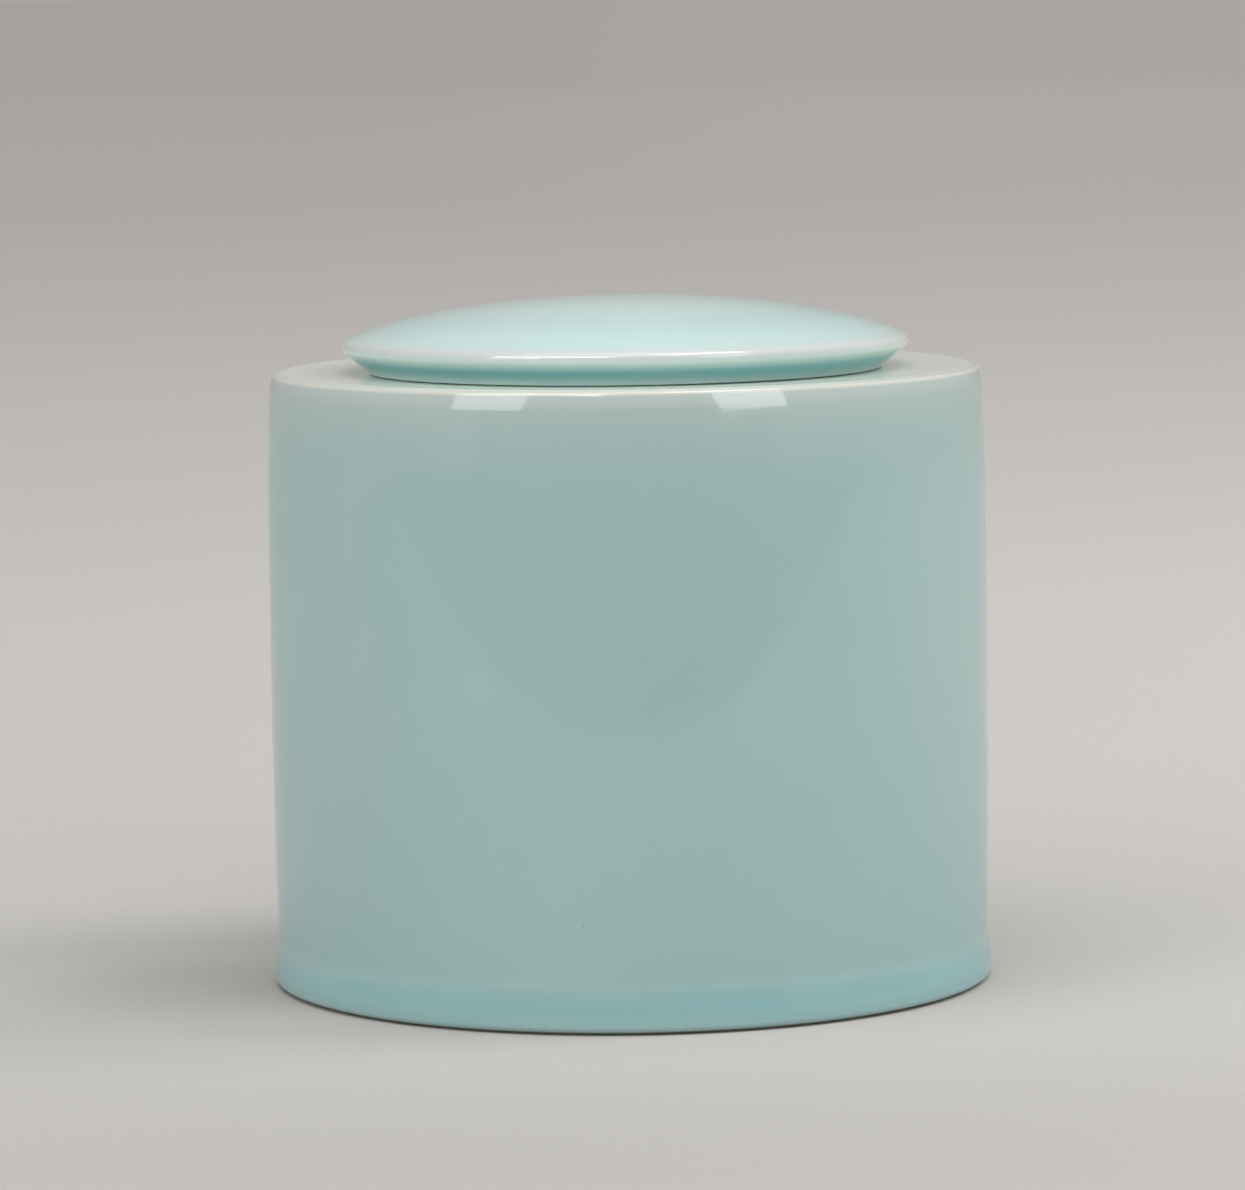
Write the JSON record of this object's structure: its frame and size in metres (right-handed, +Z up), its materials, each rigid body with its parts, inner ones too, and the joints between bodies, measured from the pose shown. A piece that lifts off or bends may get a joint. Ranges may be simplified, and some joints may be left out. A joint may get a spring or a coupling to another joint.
{
  "type": "lidded jar",
  "caption": "Straight-sided glazed porcelain water jar with a broad flat ledge round its mouth and a shallow domed lift-off lid without a knob.",
  "frame": {"origin": "on the floor under the middle of the jar, at the foot of its turning axis", "axes": "+Z up along the turning axis, -Z out of the foot ring, +X to the right and +Y away from the viewer of the picture"},
  "size_m": [0.1812, 0.1812, 0.1719],
  "materials": {
    "jar_glaze": "clear glossy pale blue-green glaze over white porcelain, bare on the foot ring",
    "lid_glaze": "clear glossy pale blue-green glaze over white porcelain, bare on the seat and flange"
  },
  "bodies": {
    "jar": {"jar_body": "jar_glaze"},
    "lid": {"lid": "lid_glaze"}
  },
  "joints": [
    {"name": "lid_lift", "type": "slide", "parent": "jar", "child": "lid", "axis": [0, 0, 1], "range_m": [0, 0.15]}
  ]
}
